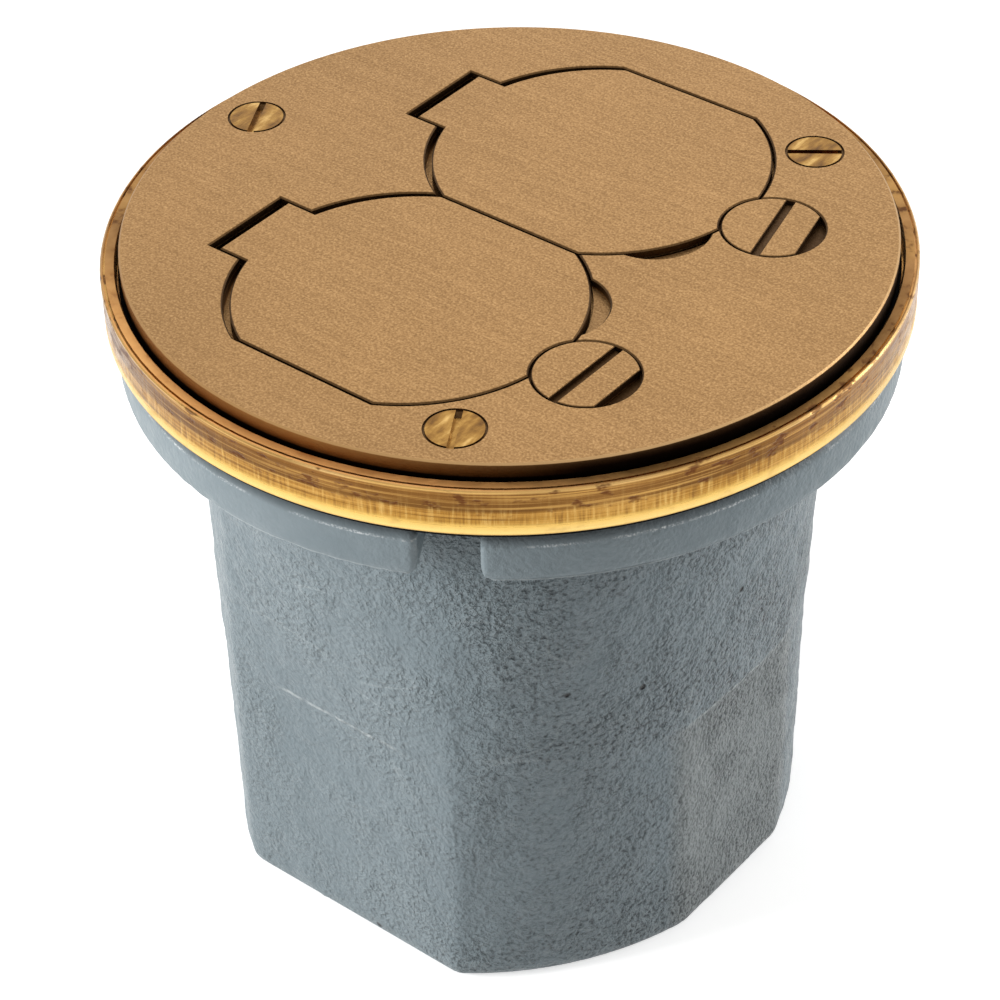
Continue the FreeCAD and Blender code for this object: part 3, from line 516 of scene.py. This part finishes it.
# %% [markdown]
# ## Painted glints on the edges, and scuffs
#
# Painted highlights run along the flange's bevel, along its foot and along the low step above the flats,
# where those edges would catch the light. Each is a narrow band of height. A noise breaks the bevel's line
# up so that it glints in short runs, and the lumps break up the step's. The long scuffs are the thin lines
# where a stretched noise passes through its middle value.

# %% Painted edge glints and scuffs
flats_reach = (52.9 * MM, 52.3 * MM)


def edge_glints_and_scuffs(tree, place, reach, height, skin, color):
    specks = noise(tree, place, 2600.0, 1.0, 0.5)
    glint_runs = fit(tree, noise(tree, place, 90.0, 2.0, 0.6), 0.44, 0.60)
    # Painted highlight: glints along the flange's bevel, in short runs.
    at_bevel = band(tree, height, flange_bevel, 0.10 * MM, 0.34 * MM)
    glints = times(tree, times(tree, at_bevel, fit(tree, specks, 0.46, 0.70, 0.1, 0.9)), glint_runs)
    color = mixed(tree, glints, color, (0.80, 0.84, 0.86))
    # Painted highlight along the flange's foot.
    at_foot = band(tree, height, flange_foot + 0.5 * MM, 0.15 * MM, 0.50 * MM, 0.45)
    color = mixed(tree, at_foot, color, (0.46, 0.51, 0.53))
    # Painted highlight along the step above the flats.
    at_step = times(tree, band(tree, height, flat_step, 0.20 * MM, 0.65 * MM, 0.80),
                    fit(tree, reach, *flats_reach))
    color = mixed(tree, times(tree, at_step, fit(tree, skin["lumps"], 0.35, 0.60)), color,
                  (0.50, 0.54, 0.55))
    winding = noise(tree, stretched(tree, place, (24.0, 24.0, 60.0), 0.5), 1.0, 1.0, 0.5)
    scuff = times(tree, band(tree, winding, 0.5, 0.0, 0.006, 0.5), fit(tree, skin["broad"], 0.45, 0.6))
    return mixed(tree, times(tree, scuff, skin["rough"]), color, crest_highlight_and_scuff_tone)


print("edges at", [round(z / MM, 1) for z in (flat_step, flange_foot, flange_bevel)], "mm")

# %% [markdown]
# ## Painted shade, pits and the finished paint
#
# Painted shade darkens the places that little light reaches: the flange's slope, where the ring throws a
# painted shadow, the wall in the flange's notches and the wall just under the flange. A few deep pits,
# where sand grains came away, are sunk by a bump and darkened to near black by painted shade. They sit at
# the points of a Voronoi pattern, which scatters them without any order.

# %% Casting paint
shaded_reach = (63.0 * MM, 58.0 * MM)
flange_shade = 20.0 * MM


def with_painted_shade(tree, reach, height, color):
    # Painted shadow of the ring on the flange's slope.
    under_ring_shadow = fit(tree, height, flange_bevel - 0.3 * MM, flange_bevel + 1.3 * MM, 0.0, 0.85)
    color = mixed(tree, under_ring_shadow, color, (0.045, 0.055, 0.060))
    # Painted shade on the inner wall, just under the flange and in its notches.
    inner_wall = fit(tree, reach, *shaded_reach)
    under_flange = fit(tree, height, flange_foot - flange_shade, flange_foot, 0.0, 0.18)
    in_notch = fit(tree, height, flange_foot - 1.0 * MM, flange_foot + 2.0 * MM, 0.0, 0.35)
    sheltered = times(tree, math_node(tree, "ADD", under_flange, in_notch), inner_wall)
    return mixed(tree, sheltered, color, (0.045, 0.058, 0.058))


def make_casting_paint():
    material, tree, shader, place = new_material("casting_paint", 0.0, 0.42, Specular_IOR_Level=0.3,
                                                 Coat_Weight=0.08, Coat_Roughness=0.16)
    reach, height = from_the_axis(tree, place)
    skin = sand_skin(tree, place, height)
    color = paint_tone(tree, place, height, skin)
    color = edge_glints_and_scuffs(tree, place, reach, height, skin, color)
    color = with_painted_shade(tree, reach, height, color)
    scattered = add(tree, "ShaderNodeTexVoronoi", {"Vector": place, "Scale": 60.0, "Randomness": 1.0})
    pits = fit(tree, scattered.outputs["Distance"], 0.02, 0.045, 1.0, 0.0)
    # Painted shade: the pits are darkened to near black.
    tree.links.new(mixed(tree, pits, color, (0.01, 0.01, 0.01)), shader.inputs["Base Color"])
    tree.links.new(fit(tree, skin["lumps"], 0.3, 0.7, 0.34, 0.52), shader.inputs["Roughness"])
    relief = times(tree, math_node(tree, "ADD", skin["grains"], skin["lumps"]), skin["coarse"])
    first = bump(tree, shader, relief, 0.9 * MM)
    bump(tree, shader, times(tree, pits, -1.0), 0.6 * MM, normal=first)
    return material


casting_paint = make_casting_paint()
print("made", casting_paint.name)

# %% [markdown]
# ## Rubber, plastic and plated steel
#
# The other finishes are plain by nature, but none is one flat colour. Sheet rubber has a fine bloom,
# moulded plastic has a soft gloss and faint flow marks, and plated steel has the grain of rolled strip.
# One recipe covers them all: a colour that a noise shades, a roughness range and a bump.

# %% Plain finishes
def make_plain(name, dark, light, metallic, rough_low, rough_high, grain, depth, scale=(1.0, 1.0, 1.0),
               **sockets):
    material, tree, shader, place = new_material(name, metallic, rough_low, **sockets)
    pattern = noise(tree, stretched(tree, place, scale), grain, 3.0, 0.6)
    tree.links.new(ramp(tree, pattern, [(0.3, dark), (0.7, light)]), shader.inputs["Base Color"])
    tree.links.new(fit(tree, pattern, 0.3, 0.7, rough_low, rough_high), shader.inputs["Roughness"])
    bump(tree, shader, pattern, depth)
    return material


# The gasket is black rubber, taken darker still, near black and with almost no specular, as painted shade
# for the shadow in the joint under the ring.
gasket_rubber = make_plain("gasket_rubber", (0.004, 0.004, 0.004), (0.009, 0.009, 0.010), 0.0, 0.6, 0.85,
                           900.0, 0.06 * MM, Specular_IOR_Level=0.04)
pad_neoprene = make_plain("pad_neoprene", (0.012, 0.012, 0.013), (0.026, 0.026, 0.028), 0.0, 0.7, 0.95,
                          1800.0, 0.10 * MM, Specular_IOR_Level=0.2)
outlet_plastic = make_plain("outlet_plastic", (0.055, 0.030, 0.018), (0.075, 0.042, 0.025), 0.0, 0.22, 0.34,
                            400.0, 0.02 * MM)
plated_steel = make_plain("plated_steel", (0.48, 0.49, 0.50), (0.62, 0.63, 0.64), 1.0, 0.26, 0.42,
                          1.0, 0.02 * MM, (200.0, 2200.0, 2200.0))
pin_steel = make_plain("pin_steel", (0.50, 0.50, 0.50), (0.60, 0.60, 0.60), 1.0, 0.18, 0.30,
                       1.0, 0.01 * MM, (2200.0, 150.0, 2200.0))
contact_brass = make_plain("contact_brass", (0.60, 0.40, 0.18), (0.74, 0.52, 0.26), 1.0, 0.25, 0.4,
                           1.0, 0.02 * MM, (1800.0, 200.0, 1800.0))
green_plating = make_plain("green_plating", (0.02, 0.14, 0.05), (0.03, 0.22, 0.08), 0.6, 0.28, 0.4,
                           700.0, 0.02 * MM)
print("materials:", len(bpy.data.materials))

# %% [markdown]
# ## Dressing the pieces
#
# Each piece of the construction model names a material slot in its record. The slots are the shop's
# names for the stock a piece is cut from, so the dressing is one table from slot to material. The lock
# discs are the one exception: their slot is the screws' brass, but they show the cover's satin face.

# %% Assign the materials
finish_of_slot = {
    "cast_iron_paint": casting_paint, "brass_cover": cover_brass, "brass_ring": ring_brass,
    "brass_screw": screw_brass, "contact_brass": contact_brass, "zinc_steel": plated_steel,
    "stainless_pin": pin_steel, "rubber_gasket": gasket_rubber, "neoprene": pad_neoprene,
    "device_plastic": outlet_plastic, "green_screw": green_plating,
}
slot_of_node = {part["node"]: part["material_slot"] for part in frame["record"]["subparts"]}
for node, piece in nodes.items():
    finish = finish_of_slot[slot_of_node[node]]
    if node.startswith("lock_disc"):
        finish = cover_brass
    for material_slot in piece.material_slots:
        material_slot.material = finish
print("dressed", len(nodes), "pieces")

# %% [markdown]
# ## The casting's skin
#
# A construction model has crisp edges, but molten iron in a sand mould can't fill a sharp corner, and the
# dipped paint rounds it further. The scene shows a softer copy of the box in its place. The copy's loose
# triangles are welded, and a voxel remesh turns them into an even net of small squares, which smoothing
# can then work on.

# %% Copy and remesh the casting
weld_distance = 0.001 * MM
casting = bpy.data.objects.new("casting_skin", nodes["box_body"].data.copy())
bpy.context.scene.collection.objects.link(casting)
shape = bmesh.new()
shape.from_mesh(casting.data)
bmesh.ops.remove_doubles(shape, verts=shape.verts, dist=weld_distance)
shape.to_mesh(casting.data)
shape.free()


def settle(piece):
    """Turns what the piece's modifiers make into its own mesh."""
    made = bpy.data.meshes.new_from_object(piece.evaluated_get(bpy.context.evaluated_depsgraph_get()))
    piece.modifiers.clear()
    piece.data = made


net = casting.modifiers.new("net", "REMESH")
net.mode = "VOXEL"
net.voxel_size = 1.0 * MM
settle(casting)
print("casting net:", len(casting.data.polygons), "faces")

# %% [markdown]
# ## Regions of the casting
#
# The smoothing and the thinning each need to know where they may work. A vertex group holds that: wall
# is the outer face between the base and the flange, hidden is the inside. The outer face is told from the
# inner one by its distance from the axis, which is a little less on the four flats than on the round.

# %% Weigh the casting's regions
flat_inner_x = 47.0 * MM
flat_reach = 50.6 * MM
round_reach = 52.0 * MM
wall_low, wall_high = 1.5 * MM, flange_foot - 1.0 * MM


def outside(point):
    """True on the outer face of the wall, on the flange's rim and under the base's edge."""
    on_flat = max(abs(point.x), abs(point.y)) > flat_inner_x
    reach = math.hypot(point.x, point.y)
    return reach > flat_reach and (on_flat or reach > round_reach)


wall = casting.vertex_groups.new(name="wall")
hidden = casting.vertex_groups.new(name="hidden")
for vertex in casting.data.vertices:
    if outside(vertex.co):
        if wall_low < vertex.co.z < wall_high:
            wall.add([vertex.index], 1.0, "REPLACE")
    elif vertex.co.z > 1.0 * MM:
        hidden.add([vertex.index], 1.0, "REPLACE")
print("regions:", [group.name for group in casting.vertex_groups])

# %% [markdown]
# ## Soft edges, a wavy wall, a thin inside
#
# Two smoothing passes round the casting: one over all of it, and one more on the wall, where the flats
# run into the round. A fine cloud noise then pushes the wall in and out by up to two tenths of a
# millimetre, for the unevenness of a sand mould. The inside needs no such fine net, so it is thinned.

# %% Soften, wave and thin the casting
for name, region in (("edges", ""), ("flow", "wall")):
    smooth = casting.modifiers.new(name, "SMOOTH")
    smooth.factor = 0.5
    smooth.iterations = 3
    smooth.vertex_group = region
sand = bpy.data.textures.new("sand", "CLOUDS")
sand.noise_scale = 4.0 * MM
sand.noise_depth = 2
wave = casting.modifiers.new("wave", "DISPLACE")
wave.texture = sand
wave.texture_coords = "LOCAL"
wave.strength = 0.45 * MM
wave.mid_level = 0.5
wave.vertex_group = "wall"
thin = casting.modifiers.new("thin", "DECIMATE")
thin.vertex_group = "hidden"
thin.ratio = 0.70
settle(casting)
print("casting vertices:", len(casting.data.vertices))

# %% [markdown]
# ## In the box's place
#
# The skin is shaded smooth, takes the paint and rides on the same body as the box. The crisp casting is
# hidden in the picture only, and stays in the scene with its exact bores and seats. The simulation
# keeps it, because it needs the exact bores and seats.

# %% Put the skin in the box's place
casting.data.shade_smooth()
casting.data.materials.clear()
casting.data.materials.append(casting_paint)
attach(casting, "box")
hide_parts("box_body")
casting_triangles = sum(len(face.vertices) - 2 for face in casting.data.polygons)
print("casting:", casting_triangles, "triangles")

# %% [markdown]
# ## The ring's foot
#
# Under its rim the real ring ends in a thin turned lip, which hangs in front of the gasket's edge and
# throws water clear of the joint. It is too fine for the construction model. Its section is six points,
# drawn once and spun a full turn about the box's axis. It is tucked a little into the ring, so that no
# seam shows.

# %% Spin the ring's foot
def trim_of_the_box(name, shape, finish):
    """Makes a finished piece of a bmesh, which rides on the box."""
    mesh = bpy.data.meshes.new(name)
    shape.to_mesh(mesh)
    shape.free()
    mesh.materials.append(finish)
    piece = bpy.data.objects.new(name, mesh)
    bpy.context.scene.collection.objects.link(piece)
    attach(piece, "box")
    return piece


def spun(name, section, steps, finish):
    """A closed ring of a (radius, height) section in millimetres, turned about Z."""
    shape = bmesh.new()
    corners = [shape.verts.new((reach * MM, 0.0, height * MM)) for reach, height in section]
    sides = [shape.edges.new((a, b)) for a, b in zip(corners, corners[1:] + corners[:1])]
    bmesh.ops.spin(shape, geom=corners + sides, cent=(0, 0, 0), axis=(0, 0, 1), angle=math.tau,
                   steps=steps, use_merge=True)
    bmesh.ops.remove_doubles(shape, verts=shape.verts, dist=weld_distance)
    bmesh.ops.recalc_face_normals(shape, faces=shape.faces)
    return trim_of_the_box(name, shape, finish)


ring_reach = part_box("floor_ring")[1][0] / MM
ring_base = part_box("floor_ring")[0][2] / MM
lip_low = ring_base - ring_foot_drop / MM
lip_back = ring_reach - 0.68
lip_break = 0.2
foot_section = [(lip_back, lip_low + lip_break), (lip_back + lip_break, lip_low),
                (ring_reach - 0.15, lip_low), (ring_reach, lip_low + lip_break),
                (ring_reach, ring_base + 1.0), (lip_back, ring_base + 0.65)]
ring_foot = spun("ring_foot", foot_section, 360, ring_brass)
print("ring foot:", len(ring_foot.data.polygons), "faces")

# %% [markdown]
# ## Pipe thread in the open conduit entry
#
# The open entry is tapped for pipe, fourteen turns to the inch. A thread is one small triangle that is
# carried round and along at once, which spin does when each step is also given a shift. The triangle's
# root lies just inside the wall of the hole, and its crest, which is blunt, stands a millimetre proud of
# it. The first and the last triangle close the two ends.

# %% Turn the thread
entry = next(mount for mount in frame["record"]["mounts"] if mount["name"] == "conduit_entry")
entry_radius = entry["dims"]["r_mm"]
entry_length = entry["dims"]["length_mm"]
entry_mouth = Vector(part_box("conduit_plug")[1])[1] / MM
entry_height = entry["pos_m"][2] / MM
pitch = 25.4 / 14
steps_a_turn = 72
thread_length = entry_length - 2.0
run_out = 0.8
turns = thread_length / pitch - run_out
mouth_margin = 1.8
thread_start = -entry_mouth + mouth_margin
thread_root = entry_height + entry_radius
thread_section = [(0.15, -0.85), (0.15, 0.85), (-0.95, 0.12), (-0.95, -0.12)]

shape = bmesh.new()
corners = [shape.verts.new(((thread_start + aside) * MM, 0.0, (thread_root + rise) * MM))
           for rise, aside in thread_section]
start = shape.faces.new(corners)
bmesh.ops.spin(shape, geom=[start], cent=(0, 0, entry_height * MM), axis=(1, 0, 0),
               angle=math.tau * turns, steps=round(turns * steps_a_turn),
               dvec=(pitch / steps_a_turn * MM, 0, 0))
bmesh.ops.remove_doubles(shape, verts=shape.verts, dist=weld_distance)
bmesh.ops.recalc_face_normals(shape, faces=shape.faces)
open_edges = sum(not edge.is_manifold for edge in shape.edges)
thread = trim_of_the_box("entry_thread", shape, casting_paint)
print("thread:", round(turns, 2), "turns,", len(thread.data.polygons), "faces, open edges", open_edges)

# %% [markdown]
# ## A soft white room
#
# Metal shows what is round it, so the room matters more than the lamps. It is white to the camera and in
# reflections, which gives the satin cover its even tone. For everything else it is at a modest level, so
# that the light on the object stays gentle. The Light Path node tells these rays apart.

# %% World
room_level = 0.36


def white_rays(tree):
    """1 for the camera's rays and for those that gloss and glass send out, otherwise 0."""
    path = add(tree, "ShaderNodeLightPath")
    mirror = math_node(tree, "MAXIMUM", path.outputs["Is Glossy Ray"], path.outputs["Is Transmission Ray"])
    return math_node(tree, "MAXIMUM", path.outputs["Is Camera Ray"], mirror)


world = bpy.data.worlds.new("studio")
bpy.context.scene.world = world
world.use_nodes = True
sky = world.node_tree
sky.nodes.clear()
seen = add(sky, "ShaderNodeBackground", {"Color": (1.0, 1.0, 1.0, 1.0), "Strength": 1.0})
room = add(sky, "ShaderNodeBackground", {"Color": (1.0, 0.985, 0.96, 1.0), "Strength": room_level})
choice = add(sky, "ShaderNodeMixShader", {0: white_rays(sky), 1: room.outputs[0], 2: seen.outputs[0]})
add(sky, "ShaderNodeOutputWorld", {"Surface": choice.outputs[0]})
bpy.context.scene.view_settings.view_transform = "Standard"
print("world strength", room.inputs["Strength"].default_value)

# %% [markdown]
# ## The floor
#
# The object stands on a plain pale floor, which takes its soft shadow. The floor glows a little, so that it
# looks as white as the room, but only to the camera and in reflections: a real glow would light the
# casting from below.

# %% Floor
floor_reach = 3.0
floor_glow = 0.6
floor_mesh = bpy.data.meshes.new("floor")
shape = bmesh.new()
bmesh.ops.create_grid(shape, x_segments=1, y_segments=1, size=floor_reach)
shape.to_mesh(floor_mesh)
shape.free()
floor = bpy.data.objects.new("floor", floor_mesh)
bpy.context.scene.collection.objects.link(floor)
floor.location.z = cad_low[2]
floor_paint, tree, shader, _ = new_material("floor_paint", 0.0, 0.9)
shader.inputs["Base Color"].default_value = (0.9, 0.9, 0.9, 1.0)
floor_mesh.materials.append(floor_paint)
output = tree.nodes["Material Output"]
lit = add(tree, "ShaderNodeEmission", {"Color": (1.0, 1.0, 1.0, 1.0), "Strength": floor_glow})
shown = add(tree, "ShaderNodeAddShader", {0: shader.outputs[0], 1: lit.outputs[0]})
chosen = add(tree, "ShaderNodeMixShader", {0: white_rays(tree), 1: shader.outputs[0], 2: shown.outputs[0]})
tree.links.new(chosen.outputs[0], output.inputs["Surface"])
print("floor at z", cad_low[2])

# %% [markdown]
# ## Lamps
#
# A key from the left shapes the casting. It is kept out of reflections, because the brass would mirror it
# as one burnt-out patch when seen from the far side. A weaker lamp on the other side finds the casting's
# far edge, and a wide panel above lightens the shadows.

# %% Lamps
def softbox(name, place_mm, target_mm, width_mm, height_mm, power):
    """A rectangular lamp that points from its place at a target."""
    light = bpy.data.lights.new(name, "AREA")
    light.shape = "RECTANGLE"
    light.size = width_mm * MM
    light.size_y = height_mm * MM
    light.energy = power
    lamp = bpy.data.objects.new(name, light)
    bpy.context.scene.collection.objects.link(lamp)
    start, target = Vector(place_mm) * MM, Vector(target_mm) * MM
    lamp.location = start
    lamp.rotation_euler = (target - start).to_track_quat("-Z", "Y").to_euler()
    return lamp


key_left = softbox("key_left", (-560, -760, 420), (0, 0, 60), 320, 320, 8.4)
key_left.visible_glossy = False
softbox("rim_right", (560, 560, 200), (0, 0, 40), 300, 400, 3.0)
softbox("top_back", (-300, 700, 800), (0, 0, 120), 900, 500, 0.8)
